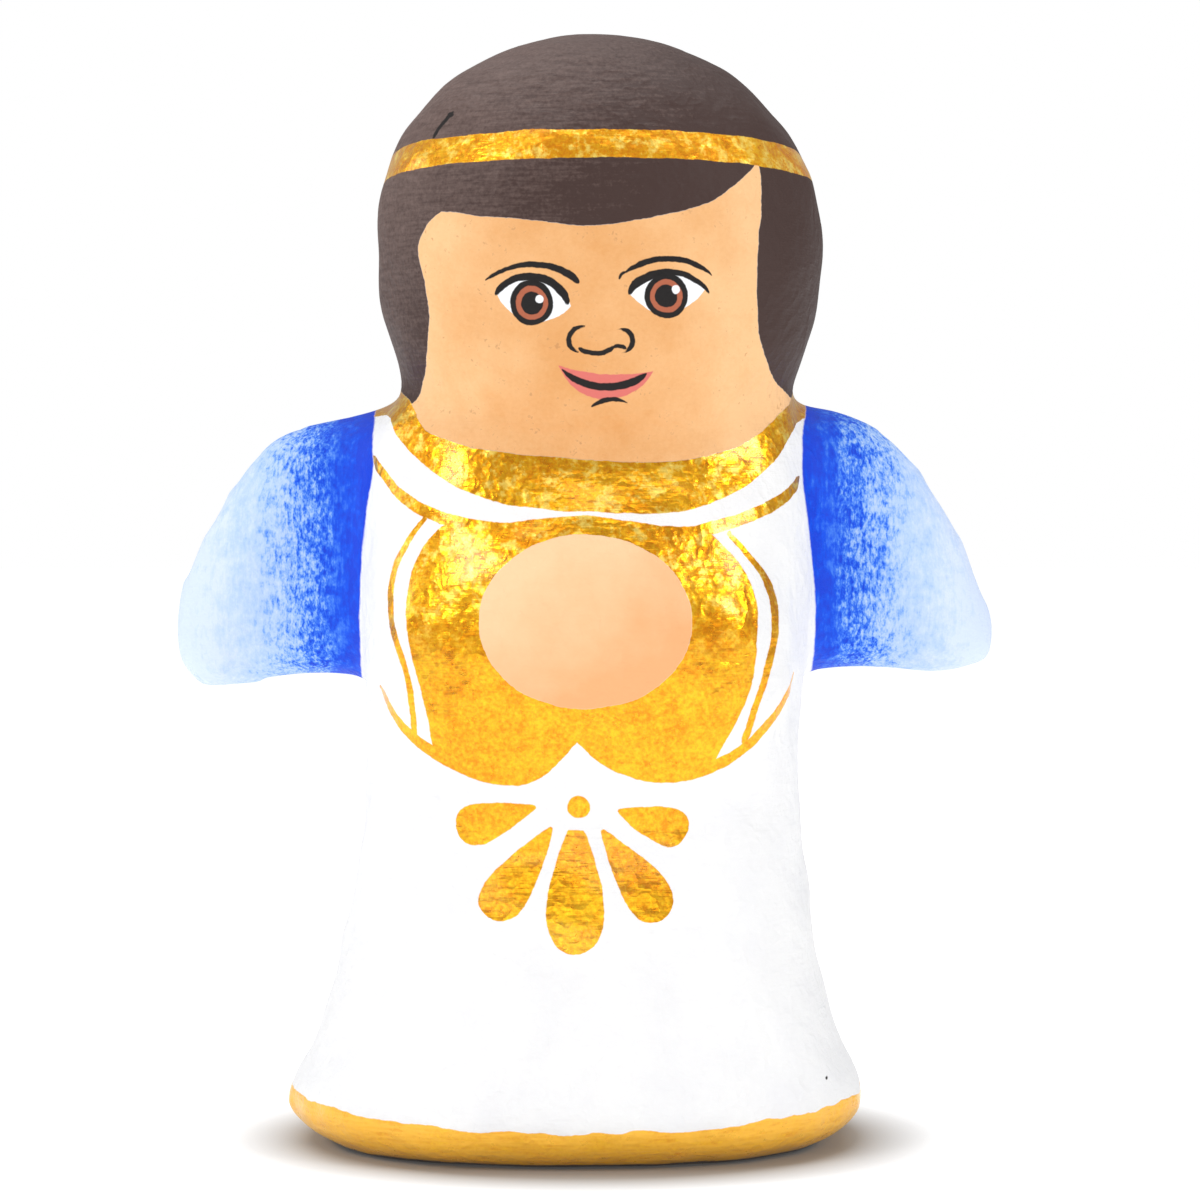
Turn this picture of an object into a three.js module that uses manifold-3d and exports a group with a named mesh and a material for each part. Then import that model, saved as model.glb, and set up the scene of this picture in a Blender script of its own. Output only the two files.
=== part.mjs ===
// Papier-mache figure of a winged child in a long gown, moulded in one from pasted paper.
// The front faces -Y, +X is on the viewer's right, and the figure stands on Z = 0. Sizes are in millimetres.
// The form is one smooth field, below zero inside the paper: gown, head, folded arms, hands and wings
// are blended together at their creases, meshed, and cut flat where the figure stands.

import * as THREE from 'three';
import { mergeVertices } from 'three/addons/utils/BufferGeometryUtils.js';
import Module from 'manifold-3d';

// The three main sizes. The form keeps its proportions as shares of them.
const FIGURE_HEIGHT = 299;
const FIGURE_WIDTH = 226; // from wing tip to wing tip
const FIGURE_DEPTH = 107; // from front to back, at the foot of the gown
const up = (share) => share * FIGURE_HEIGHT;
const across = (share) => share * FIGURE_WIDTH;
const deep = (share) => share * FIGURE_DEPTH;

// The gown, from the foot up. Each row is one level: its half width, and its depth in front and behind.
const GOWN_LEVELS = [
  { name: 'foot', height: up(0), half: across(0.3434), front: deep(0.5009), back: deep(0.5009) },
  { name: 'rim', height: up(0.0468), half: across(0.3451), front: deep(0.5009), back: deep(0.5009) },
  { name: 'hem', height: up(0.0936), half: across(0.3155), front: deep(0.4673), back: deep(0.4486) },
  { name: 'skirt', height: up(0.1605), half: across(0.2894), front: deep(0.4206), back: deep(0.4019) },
  { name: 'knee', height: up(0.2542), half: across(0.269), front: deep(0.3832), back: deep(0.3645) },
  { name: 'waist', height: up(0.3679), half: across(0.2584), front: deep(0.3645), back: deep(0.3458) },
  { name: 'chest', height: up(0.4749), half: across(0.269), front: deep(0.3832), back: deep(0.3551) },
  { name: 'collar', height: up(0.5686), half: across(0.2673), front: deep(0.3738), back: deep(0.3458) },
  { name: 'shoulder', height: up(0.6221), half: across(0.2637), front: deep(0.3271), back: deep(0.3364) },
  { name: 'throat', height: up(0.7023), half: across(0.2566), front: deep(0.2617), back: deep(0.3178) },
];
const SHOULDER_START = up(0.5953); // the shoulders round over from here
const SHOULDER_TOP = up(0.7023); // and would close here, inside the head
const SHOULDER_SQUARE = 3.2; // 2 is a round shoulder, higher is squarer
const GOWN_SQUARE = 2.45; // plan of the gown: 2 is an oval, higher is boxier
const LIP_HEIGHT = up(0.0502); // the lower edge of the gown curls under, from here down
const LIP_BELOW = up(0.0067); // the curl would be level this far below the floor
const LIP_INSET = deep(0.243);
const FOOT_SHIFT = across(-0.0111); // the figure leans a little to the viewer's right
const CHEST_SHIFT = across(0.0035);

const HEAD_HEIGHT = up(0.8161); // level of the widest part of the head
const HEAD_SHIFT = across(0.0173);
const HEAD_LEAN = -0.03; // the crown moves sideways this much for each millimetre above that level
const HEAD_HALF_WIDTH = across(0.2664);
const HEAD_FRONT = deep(0.4579);
const HEAD_BACK = deep(0.4673);
const HEAD_CROWN = up(0.1839); // from the widest level to the top
const HEAD_JAW = up(0.2642); // from the widest level to where the jaw would close, inside the chest
const HEAD_SQUARE = 2.25;

// The arms are folded in wide sleeves over the chest, with the joined hands in the middle.
const SLEEVE_SPREAD = across(0.0929); // each sleeve's middle, from the middle of the chest
const SLEEVE_LEVEL = up(0.4348);
const SLEEVE_DEPTH = deep(-0.2897);
const SLEEVE_RADII = [across(0.1283), deep(0.1542), up(0.1104)];
const HANDS_LEVEL = up(0.4783);
const HANDS_DEPTH = deep(-0.3551);
const HANDS_RADII = [across(0.1283), deep(0.1449), up(0.0836)];

// Outline of each wing, seen from the front, from the neck over the tip and back to the armpit.
// Each point is a share of half the figure's width and a share of its height.
const LEFT_WING = [
  [0.301, 0.659], [0.504, 0.661], [0.646, 0.651], [0.752, 0.64], [0.832, 0.607],
  [0.907, 0.564], [0.976, 0.512], [1.003, 0.458], [0.977, 0.42], [0.912, 0.406],
  [0.699, 0.419], [0.531, 0.423], [0.301, 0.455],
];
const RIGHT_WING = [
  [0.301, 0.666], [0.531, 0.667], [0.646, 0.66], [0.743, 0.637], [0.823, 0.604],
  [0.894, 0.564], [0.963, 0.508], [1.007, 0.458], [0.973, 0.431], [0.876, 0.42],
  [0.717, 0.426], [0.54, 0.428], [0.301, 0.455],
];
const WING_ROOT_HALF = deep(0.1636); // half thickness at the body
const WING_TIP_HALF = deep(0.1028);
const WING_TIP = across(0.5027); // the tips' distance from the middle plane
const WING_EDGE = 15; // width of the rounded edge
const WING_DEPTH = deep(0.0374); // the wings' middle plane lies behind the figure's
const WING_SWEEP = 0.09; // and goes back this much for each millimetre outwards

const NECK_CREASE = 3; // how far each crease is filled with paper and paint
const WING_CREASE = 7;
const SLEEVE_CREASE = 11;
const HAND_CREASE = 7;

const LUMP = 0.75; // unevenness of the hand-pasted paper
const LUMP_WAVE = [43, 37, 31];

const CELL = 6.3; // grid of the meshing
const GRID_MOVES = 7; // starting places that are tried for the grid
const MARGIN = 2.5 * CELL;
const BELOW_FLOOR = 5; // the gown is carried on below the floor, then cut
const OUTLINE_STEPS = 5; // points on the wing's outline between two named ones

const smoothUnion = (a, b, fillet) => {
  const near = Math.max(fillet - Math.abs(a - b), 0) / fillet;
  return Math.min(a, b) - near * near * fillet / 4;
};

const mix = (a, b, share) => a + (b - a) * share;
const clamp01 = (value) => Math.min(Math.max(value, 0), 1);

// A smooth curve through the levels, with each slope taken from the levels on both sides.
function levelValue(levels, key, height) {
  const last = levels.length - 1;
  if (height <= levels[0].height) return levels[0][key];
  if (height >= levels[last].height) return levels[last][key];
  const upper = levels.findIndex((level) => level.height > height);
  const slopeAt = (index) => {
    const before = levels[Math.max(index - 1, 0)];
    const after = levels[Math.min(index + 1, last)];
    return (after[key] - before[key]) / (after.height - before.height);
  };
  const [low, high] = [levels[upper - 1], levels[upper]];
  const span = high.height - low.height;
  const t = (height - low.height) / span;
  const [t2, t3] = [t * t, t * t * t];
  return (2 * t3 - 3 * t2 + 1) * low[key] + (t3 - 2 * t2 + t) * span * slopeAt(upper - 1)
    + (3 * t2 - 2 * t3) * high[key] + (t3 - t2) * span * slopeAt(upper);
}

const plan = (u, v, square) => (Math.abs(u) ** square + Math.abs(v) ** square) ** (1 / square);

function gownField(x, y, z) {
  const curl = clamp01((LIP_HEIGHT - z) / (LIP_HEIGHT + LIP_BELOW));
  const inset = LIP_INSET * (1 - Math.sqrt(1 - curl * curl));
  const half = levelValue(GOWN_LEVELS, 'half', z) - inset;
  const depth = levelValue(GOWN_LEVELS, y < 0 ? 'front' : 'back', z) - inset;
  const middle = mix(FOOT_SHIFT, CHEST_SHIFT, clamp01(z / SHOULDER_START));
  const outwards = plan((x - middle) / half, y / depth, GOWN_SQUARE);
  const upwards = Math.max(z - SHOULDER_START, 0) / (SHOULDER_TOP - SHOULDER_START);
  const side = (plan(outwards, upwards, SHOULDER_SQUARE) - 1) * Math.min(half, depth);
  return Math.max(side, -BELOW_FLOOR - z);
}

function headField(x, y, z) {
  const middle = HEAD_SHIFT + HEAD_LEAN * Math.max(z - HEAD_HEIGHT, 0);
  const outwards = plan((x - middle) / HEAD_HALF_WIDTH, y / (y < 0 ? HEAD_FRONT : HEAD_BACK), HEAD_SQUARE);
  const upwards = (z - HEAD_HEIGHT) / (z > HEAD_HEIGHT ? HEAD_CROWN : HEAD_JAW);
  return (Math.hypot(outwards, upwards) - 1) * HEAD_FRONT;
}

function ovalField(x, y, z, [rx, ry, rz]) {
  return (Math.hypot(x / rx, y / ry, z / rz) - 1) * Math.min(rx, ry, rz);
}

function armsField(x, y, z) {
  const sleeve = ovalField(
    Math.abs(x - CHEST_SHIFT) - SLEEVE_SPREAD, y - SLEEVE_DEPTH, z - SLEEVE_LEVEL, SLEEVE_RADII,
  );
  const hands = ovalField(x - CHEST_SHIFT, y - HANDS_DEPTH, z - HANDS_LEVEL, HANDS_RADII);
  return smoothUnion(sleeve, hands, HAND_CREASE);
}

// Signed distance to a closed outline, above zero inside it.
function insideOutline(outline, x, z) {
  let nearest = Infinity;
  let inside = false;
  outline.forEach(([ax, az], index) => {
    const [bx, bz] = outline[(index + 1) % outline.length];
    const along = clamp01(((x - ax) * (bx - ax) + (z - az) * (bz - az)) / ((bx - ax) ** 2 + (bz - az) ** 2));
    nearest = Math.min(nearest, Math.hypot(x - mix(ax, bx, along), z - mix(az, bz, along)));
    if ((az > z) !== (bz > z) && x < ax + (bx - ax) * (z - az) / (bz - az)) inside = !inside;
  });
  return inside ? nearest : -nearest;
}

function roundOutline(points) {
  const corners = points.map(([out, height]) => new THREE.Vector3(across(out / 2), up(height), 0));
  const curve = new THREE.CatmullRomCurve3(corners, true, 'catmullrom', 0.5);
  return curve.getPoints(points.length * OUTLINE_STEPS).slice(0, -1).map((point) => [point.x, point.y]);
}

const leftOutline = roundOutline(LEFT_WING);
const rightOutline = roundOutline(RIGHT_WING);

function wingsField(x, y, z) {
  const out = Math.abs(x);
  const depthInside = insideOutline(x < 0 ? leftOutline : rightOutline, out, z);
  const fromMiddle = Math.abs(y - WING_DEPTH - WING_SWEEP * out);
  if (depthInside < 0) return Math.hypot(fromMiddle, depthInside);
  const thickest = mix(WING_ROOT_HALF, WING_TIP_HALF, clamp01(out / WING_TIP));
  const rounding = 1 - clamp01(depthInside / WING_EDGE);
  return fromMiddle - thickest * Math.sqrt(1 - rounding * rounding);
}

function lumps(x, y, z) {
  const [wx, wy, wz] = LUMP_WAVE.map((wave) => 2 * Math.PI / wave);
  return LUMP * Math.sin(wx * x + 0.4 * wz * z) * Math.sin(wy * y + 0.5 * wx * x) * Math.sin(wz * z + 0.3 * wy * y);
}

function figureField(x, y, z) {
  const body = smoothUnion(gownField(x, y, z), armsField(x, y, z), SLEEVE_CREASE);
  const winged = smoothUnion(body, wingsField(x, y, z), WING_CREASE);
  return smoothUnion(winged, headField(x, y, z), NECK_CREASE) + lumps(x, y, z);
}

// Moves a point onto the surface along the field's steepest line.
function ontoSurface(point, rounds = 4) {
  const step = 0.05;
  for (let round = 0; round < rounds; round += 1) {
    const { x, y, z } = point;
    const value = figureField(x, y, z);
    const slope = new THREE.Vector3(
      figureField(x + step, y, z) - figureField(x - step, y, z),
      figureField(x, y + step, z) - figureField(x, y - step, z),
      figureField(x, y, z + step) - figureField(x, y, z - step),
    ).divideScalar(2 * step);
    point.addScaledVector(slope, -value / Math.max(slope.lengthSq(), 0.25));
  }
  return point;
}

// Surface nets: one point in each cell that the surface crosses, one face across each crossed grid edge.
function surfaceOf(field, low, high) {
  const count = [0, 1, 2].map((axis) => Math.ceil((high[axis] - low[axis]) / CELL));
  const at = (i, j, k) => (k * (count[1] + 1) + j) * (count[0] + 1) + i;
  const values = new Float64Array((count[0] + 1) * (count[1] + 1) * (count[2] + 1));
  const place = (i, j, k) => [low[0] + i * CELL, low[1] + j * CELL, low[2] + k * CELL];
  for (let k = 0; k <= count[2]; k += 1) {
    for (let j = 0; j <= count[1]; j += 1) {
      for (let i = 0; i <= count[0]; i += 1) values[at(i, j, k)] = field(...place(i, j, k));
    }
  }

  const corners = [0, 1, 2, 3, 4, 5, 6, 7].map((bit) => [bit & 1, (bit >> 1) & 1, bit >> 2]);
  const edges = [];
  corners.forEach((a, p) => corners.forEach((b, q) => {
    if (p < q && Math.abs(a[0] - b[0]) + Math.abs(a[1] - b[1]) + Math.abs(a[2] - b[2]) === 1) edges.push([a, b]);
  }));

  const points = [];
  const cellPoint = new Map();
  for (let k = 0; k < count[2]; k += 1) {
    for (let j = 0; j < count[1]; j += 1) {
      for (let i = 0; i < count[0]; i += 1) {
        const sum = new THREE.Vector3();
        let crossings = 0;
        for (const [a, b] of edges) {
          const [va, vb] = [a, b].map((c) => values[at(i + c[0], j + c[1], k + c[2])]);
          if ((va < 0) === (vb < 0)) continue;
          const share = va / (va - vb);
          sum.add(new THREE.Vector3(...place(...[0, 1, 2].map((n) => [i, j, k][n] + mix(a[n], b[n], share)))));
          crossings += 1;
        }
        if (crossings === 0) continue;
        cellPoint.set(at(i, j, k), points.length);
        points.push(ontoSurface(sum.divideScalar(crossings)));
      }
    }
  }

  const triangles = [];
  const addFace = (cells, outwards) => {
    const [a, b, c, d] = cells.map(([i, j, k]) => cellPoint.get(at(i, j, k)));
    const shortDiagonal = points[a].distanceTo(points[c]) < points[b].distanceTo(points[d]);
    const pair = shortDiagonal ? [[a, b, c], [a, c, d]] : [[a, b, d], [b, c, d]];
    pair.forEach(([p, q, r]) => triangles.push(...(outwards ? [p, q, r] : [p, r, q])));
  };
  for (let k = 1; k < count[2]; k += 1) {
    for (let j = 1; j < count[1]; j += 1) {
      for (let i = 1; i < count[0]; i += 1) {
        const here = values[at(i, j, k)] < 0;
        if (here !== values[at(i + 1, j, k)] < 0) {
          addFace([[i, j - 1, k - 1], [i, j, k - 1], [i, j, k], [i, j - 1, k]], here);
        }
        if (here !== values[at(i, j + 1, k)] < 0) {
          addFace([[i - 1, j, k - 1], [i - 1, j, k], [i, j, k], [i, j, k - 1]], here);
        }
        if (here !== values[at(i, j, k + 1)] < 0) {
          addFace([[i - 1, j - 1, k], [i, j - 1, k], [i, j, k], [i - 1, j, k]], here);
        }
      }
    }
  }
  const geometry = new THREE.BufferGeometry();
  geometry.setAttribute('position', new THREE.Float32BufferAttribute(points.flatMap((p) => [p.x, p.y, p.z]), 3));
  geometry.setIndex(triangles);
  return geometry;
}

function everyEdgeHasTwoFaces(index) {
  const faces = new Map();
  for (let corner = 0; corner < index.length; corner += 1) {
    const next = corner % 3 === 2 ? corner - 2 : corner + 1;
    const [a, b] = [index[corner], index[next]].sort((p, q) => p - q);
    const key = `${a} ${b}`;
    faces.set(key, (faces.get(key) ?? 0) + 1);
  }
  return [...faces.values()].every((count) => count === 2);
}

// Where two walls of the form come close they can share an edge of the net, so the grid moves until none does.
function closedSurfaceOf(field, low, high) {
  for (let move = 0; move < GRID_MOVES; move += 1) {
    const surface = surfaceOf(field, low.map((value) => value - CELL * move / GRID_MOVES), high);
    if (everyEdgeHasTwoFaces(surface.index.array)) return surface;
  }
  throw new Error('two walls of the figure share an edge: take a smaller CELL');
}

const wasm = await Module();
wasm.setup();

function toSolid(geometry) {
  const bare = geometry.clone();
  bare.deleteAttribute('normal');
  bare.deleteAttribute('uv');
  const merged = mergeVertices(bare, 1e-4);
  return new wasm.Manifold(new wasm.Mesh({
    numProp: 3,
    vertProperties: new Float32Array(merged.attributes.position.array),
    triVerts: new Uint32Array(merged.index.array),
  }));
}

function toGeometry(solid) {
  const mesh = solid.getMesh();
  const geometry = new THREE.BufferGeometry();
  geometry.setAttribute('position', new THREE.BufferAttribute(new Float32Array(mesh.vertProperties), 3));
  geometry.setIndex(new THREE.BufferAttribute(new Uint32Array(mesh.triVerts), 1));
  geometry.computeVertexNormals();
  return geometry;
}

function makeFigure() {
  const reach = Math.max(WING_TIP, ...GOWN_LEVELS.map((level) => level.half)) + MARGIN;
  const front = Math.max(
    HEAD_FRONT, HANDS_RADII[1] - HANDS_DEPTH, SLEEVE_RADII[1] - SLEEVE_DEPTH,
    ...GOWN_LEVELS.map((level) => level.front),
  ) + MARGIN;
  const back = Math.max(HEAD_BACK, ...GOWN_LEVELS.map((level) => level.back)) + MARGIN;
  const top = HEAD_HEIGHT + HEAD_CROWN + MARGIN;
  const form = toSolid(closedSurfaceOf(figureField, [-reach, -front, -BELOW_FLOOR - MARGIN], [reach, back, top]));
  const belowFloor = new THREE.BoxGeometry(4 * reach, 4 * reach, 2 * reach).translate(0, 0, -reach);
  const material = new THREE.MeshStandardMaterial({ name: 'painted_paper', color: 0xf4f3f1, roughness: 0.6 });
  const figure = new THREE.Mesh(toGeometry(form.subtract(toSolid(belowFloor))), material);
  figure.name = 'figure';
  return figure;
}

const group = new THREE.Group();
group.name = 'papier_mache_figure';
group.add(makeFigure());

export default group;
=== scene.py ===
# A papier-mache figure of a winged child in a long gown, painted and gilded by hand.
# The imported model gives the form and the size. This script gives it pasted paper, paint, light and a camera.

import math

import bmesh
import bpy
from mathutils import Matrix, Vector


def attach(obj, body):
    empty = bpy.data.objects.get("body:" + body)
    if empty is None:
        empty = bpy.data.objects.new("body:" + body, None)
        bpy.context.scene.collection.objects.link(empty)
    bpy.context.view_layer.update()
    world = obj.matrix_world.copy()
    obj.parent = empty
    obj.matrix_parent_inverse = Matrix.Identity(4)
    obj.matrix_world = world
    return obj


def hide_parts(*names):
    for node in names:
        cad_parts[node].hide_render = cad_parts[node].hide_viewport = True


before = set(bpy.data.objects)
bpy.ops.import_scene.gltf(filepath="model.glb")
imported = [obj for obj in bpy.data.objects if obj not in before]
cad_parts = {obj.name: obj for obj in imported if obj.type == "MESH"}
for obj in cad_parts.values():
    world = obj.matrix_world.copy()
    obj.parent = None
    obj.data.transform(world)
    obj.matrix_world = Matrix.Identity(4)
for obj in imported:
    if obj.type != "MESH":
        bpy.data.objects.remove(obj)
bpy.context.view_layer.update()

MM = 0.001


# The body: one hollow shell of pasted paper strips, with gown, folded arms, wings and head moulded in one.
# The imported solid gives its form. Its flat faces are rounded, and a flat sheet of paper closes the sole.
WELD = 0.02 * MM
SOLE_THICK = 0.1 * MM
QUAD_ANGLE = math.radians(50)
ROUNDING = 2  # subdivision levels

form = bmesh.new()
form.from_mesh(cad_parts["figure"].data)
bmesh.ops.remove_doubles(form, verts=form.verts, dist=WELD)
sole = [face for face in form.faces if all(vert.co.z < SOLE_THICK for vert in face.verts)]
bmesh.ops.delete(form, geom=sole, context="FACES")
bmesh.ops.join_triangles(
    form,
    faces=form.faces,
    angle_face_threshold=QUAD_ANGLE,
    angle_shape_threshold=QUAD_ANGLE,
)
body_mesh = bpy.data.meshes.new("painted_figure")
form.to_mesh(body_mesh)
form.free()
body = bpy.data.objects.new("painted_figure", body_mesh)
bpy.context.scene.collection.objects.link(body)
rounding = body.modifiers.new("rounding", "SUBSURF")
rounding.levels = ROUNDING
rounding.render_levels = ROUNDING


def new_node(tree, kind, **settings):
    node = tree.nodes.new(kind)
    for name, value in settings.items():
        setattr(node, name, value)
    return node


def feed(tree, socket, value):
    """Links a socket to another node's output, or sets it to a plain value."""
    if isinstance(value, bpy.types.NodeSocket):
        tree.links.new(value, socket)
    else:
        socket.default_value = value


def calc(tree, operation, *values, clamp=False):
    """One Math node; the result is its output."""
    node = new_node(tree, "ShaderNodeMath", operation=operation, use_clamp=clamp)
    for socket, value in zip(node.inputs, values):
        feed(tree, socket, value)
    return node.outputs[0]


def noise(tree, position, scale, detail=2.0, roughness=0.5, distortion=0.0):
    """The value of a noise texture, around 0.5; its scale counts waves for each unit of position."""
    node = new_node(tree, "ShaderNodeTexNoise")
    feed(tree, node.inputs["Vector"], position)
    node.inputs["Scale"].default_value = scale
    node.inputs["Detail"].default_value = detail
    node.inputs["Roughness"].default_value = roughness
    node.inputs["Distortion"].default_value = distortion
    return node.outputs[0]


def group_inputs(group, **defaults):
    """Adds one named input for each default: a vector for three numbers, and a plain value for one."""
    for name, value in defaults.items():
        kind = "NodeSocketVector" if isinstance(value, tuple) else "NodeSocketFloat"
        socket = group.interface.new_socket(name.replace("_", " "), in_out="INPUT", socket_type=kind)
        socket.default_value = value


# Pasted strips of paper leave dents as wide as a thumb and, on the face of the strips, soft wrinkles.
relief = bpy.data.node_groups.new("pasted_paper_relief", "GeometryNodeTree")
relief.interface.new_socket("Geometry", in_out="INPUT", socket_type="NodeSocketGeometry")
group_inputs(
    relief,
    Dent_Height=0.8 * MM,
    Dent_Size=24 * MM,
    Wrinkle_Height=0.32 * MM,
    Wrinkle_Size=7 * MM,
    Flat_Below=3 * MM,
)
relief.interface.new_socket("Material", in_out="INPUT", socket_type="NodeSocketMaterial")
relief.interface.new_socket("Geometry", in_out="OUTPUT", socket_type="NodeSocketGeometry")
relief_in = new_node(relief, "NodeGroupInput").outputs
place = new_node(relief, "GeometryNodeInputPosition").outputs[0]


def relief_noise(size, detail, distortion):
    node = new_node(relief, "ShaderNodeTexNoise")
    relief.links.new(place, node.inputs["Vector"])
    relief.links.new(calc(relief, "DIVIDE", 1.0, size), node.inputs["Scale"])
    node.inputs["Detail"].default_value = detail
    node.inputs["Distortion"].default_value = distortion
    return calc(relief, "SUBTRACT", node.outputs[0], 0.5)


dents = calc(relief, "MULTIPLY", relief_noise(relief_in["Dent Size"], 1.0, 0.0), relief_in["Dent Height"])
fold = calc(relief, "ABSOLUTE", relief_noise(relief_in["Wrinkle Size"], 2.0, 0.6))
wrinkles = calc(relief, "MULTIPLY", fold, relief_in["Wrinkle Height"])
place_heights = new_node(relief, "ShaderNodeSeparateXYZ")
relief.links.new(place, place_heights.inputs[0])
above_sole = calc(relief, "DIVIDE", place_heights.outputs["Z"], relief_in["Flat Below"], clamp=True)
height = calc(relief, "MULTIPLY", calc(relief, "SUBTRACT", dents, wrinkles), above_sole)
push = new_node(relief, "ShaderNodeVectorMath", operation="SCALE")
relief.links.new(new_node(relief, "GeometryNodeInputNormal").outputs[0], push.inputs[0])
relief.links.new(height, push.inputs["Scale"])
moved = new_node(relief, "GeometryNodeSetPosition")
relief.links.new(relief_in["Geometry"], moved.inputs["Geometry"])
relief.links.new(push.outputs[0], moved.inputs["Offset"])
realized = new_node(relief, "GeometryNodeRealizeInstances")
relief.links.new(moved.outputs[0], realized.inputs[0])
dressed = new_node(relief, "GeometryNodeSetMaterial")
relief.links.new(realized.outputs[0], dressed.inputs["Geometry"])
relief.links.new(relief_in["Material"], dressed.inputs["Material"])
relief.links.new(dressed.outputs[0], new_node(relief, "NodeGroupOutput").inputs[0])

painted = bpy.data.materials.new("painted_paper")
painted.use_nodes = True

pasting = body.modifiers.new("pasting", "NODES")
pasting.node_group = relief
material_input = next(item for item in relief.interface.items_tree if item.name == "Material")
pasting[material_input.identifier] = painted
bpy.context.view_layer.update()
depsgraph = bpy.context.evaluated_depsgraph_get()
finished = bpy.data.meshes.new_from_object(body.evaluated_get(depsgraph))
body.modifiers.clear()
body.data = finished

closing = bmesh.new()
closing.from_mesh(finished)
for face in closing.faces:
    face.smooth = True
rim = [edge for edge in closing.edges if edge.is_boundary]
for edge in rim:
    edge.smooth = False
    for vert in edge.verts:
        vert.co.z = 0
for face in bmesh.ops.holes_fill(closing, edges=rim, sides=0)["faces"]:
    face.smooth = False
bmesh.ops.recalc_face_normals(closing, faces=closing.faces)
closing.to_mesh(finished)
closing.free()

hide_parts("figure")
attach(body, "root")


# The paint: matt and satin colours over a white ground, each with the soft, uneven edge of a small brush.
# Sizes are in millimetres on the figure, across (x) and up (z), as the painter sees it from the front.
tree = painted.node_tree
surface = tree.nodes["Principled BSDF"]
coordinates = new_node(tree, "ShaderNodeTexCoord").outputs["Object"]
in_mm = new_node(tree, "ShaderNodeVectorMath", operation="SCALE")
tree.links.new(coordinates, in_mm.inputs[0])
in_mm.inputs["Scale"].default_value = 1 / MM
place_mm = in_mm.outputs[0]

HAND_SHAKE = 0.9  # how far a painted edge strays
HAND_SHAKE_SIZE = 7.0
BRISTLE_SHAKE = 0.35
BRISTLE_SHAKE_SIZE = 1.3


def shaken(vector):
    """The place, moved a little to and fro, so that no painted edge is drawn with a ruler."""
    for reach, size in ((HAND_SHAKE, HAND_SHAKE_SIZE), (BRISTLE_SHAKE, BRISTLE_SHAKE_SIZE)):
        texture = new_node(tree, "ShaderNodeTexNoise")
        tree.links.new(place_mm, texture.inputs["Vector"])
        texture.inputs["Scale"].default_value = 1 / size
        texture.inputs["Detail"].default_value = 1.0
        middle = new_node(tree, "ShaderNodeVectorMath", operation="SUBTRACT")
        tree.links.new(texture.outputs["Color"], middle.inputs[0])
        middle.inputs[1].default_value = (0.5, 0.5, 0.5)
        step = new_node(tree, "ShaderNodeVectorMath", operation="MULTIPLY_ADD")
        tree.links.new(middle.outputs[0], step.inputs[0])
        step.inputs[1].default_value = (reach, reach, reach)
        tree.links.new(vector, step.inputs[2])
        vector = step.outputs[0]
    return vector


place_parts = new_node(tree, "ShaderNodeSeparateXYZ")
tree.links.new(place_mm, place_parts.inputs[0])
place_across = place_parts.outputs["X"]

drawn = shaken(place_mm)
parts = new_node(tree, "ShaderNodeSeparateXYZ")
tree.links.new(drawn, parts.inputs[0])
x, y, z = parts.outputs
EDGE = 0.22  # a painted edge fades over this width

flattening = new_node(tree, "ShaderNodeVectorMath", operation="MULTIPLY")
tree.links.new(drawn, flattening.inputs[0])
flattening.inputs[1].default_value = (1, 0, 1)
seen_from_front = flattening.outputs[0]


def below(value, limit, edge=EDGE):
    """1 where value is below limit, 0 where it is above, with a soft edge between."""
    gap = calc(tree, "SUBTRACT", limit, value)
    return calc(tree, "MULTIPLY_ADD", gap, 1 / edge, 0.5, clamp=True)


def both(*masks):
    result = masks[0]
    for mask in masks[1:]:
        result = calc(tree, "MULTIPLY", result, mask)
    return result


def either(*masks):
    result = masks[0]
    for mask in masks[1:]:
        result = calc(tree, "MAXIMUM", result, mask)
    return result


def but_not(mask, other):
    return calc(tree, "MULTIPLY", mask, calc(tree, "SUBTRACT", 1.0, other))


def drawn_curve(value, points, corners=()):
    """A smooth freehand line through points, read at value."""
    node = new_node(tree, "ShaderNodeFloatCurve")
    curve = node.mapping.curves[0]
    node.mapping.use_clip = False
    while len(curve.points) < len(points):
        curve.points.new(0.5, 0.5)
    for point, (along, across) in zip(curve.points, points):
        point.location = (along, across)
        point.handle_type = "VECTOR" if along in corners else "AUTO"
    node.mapping.extend = "HORIZONTAL"
    node.mapping.update()
    feed(tree, node.inputs["Value"], value)
    return node.outputs[0]


def mixed(low, high, share):
    node = new_node(tree, "ShaderNodeMix")
    feed(tree, node.inputs["Factor"], share)
    feed(tree, node.inputs[2], low)
    feed(tree, node.inputs[3], high)
    return node.outputs[0]


def srgb(red, green, blue):
    """A colour in the 0 to 255 values of a paint chart, as Blender's linear colour."""
    linear = [((c / 255 + 0.055) / 1.055) ** 2.4 if c > 10 else c / 255 / 12.92 for c in (red, green, blue)]
    return (*linear, 1.0)


def coloured(under, over, mask):
    """One coat of paint over another."""
    node = new_node(tree, "ShaderNodeMix", data_type="RGBA")
    feed(tree, node.inputs["Factor"], mask)
    feed(tree, node.inputs[6], under)
    feed(tree, node.inputs[7], over)
    return node.outputs[2]


FRONT_EDGE = -6.0  # what is painted only on the front ends at this depth
on_front = below(y, FRONT_EDGE, 3.0)

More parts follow.
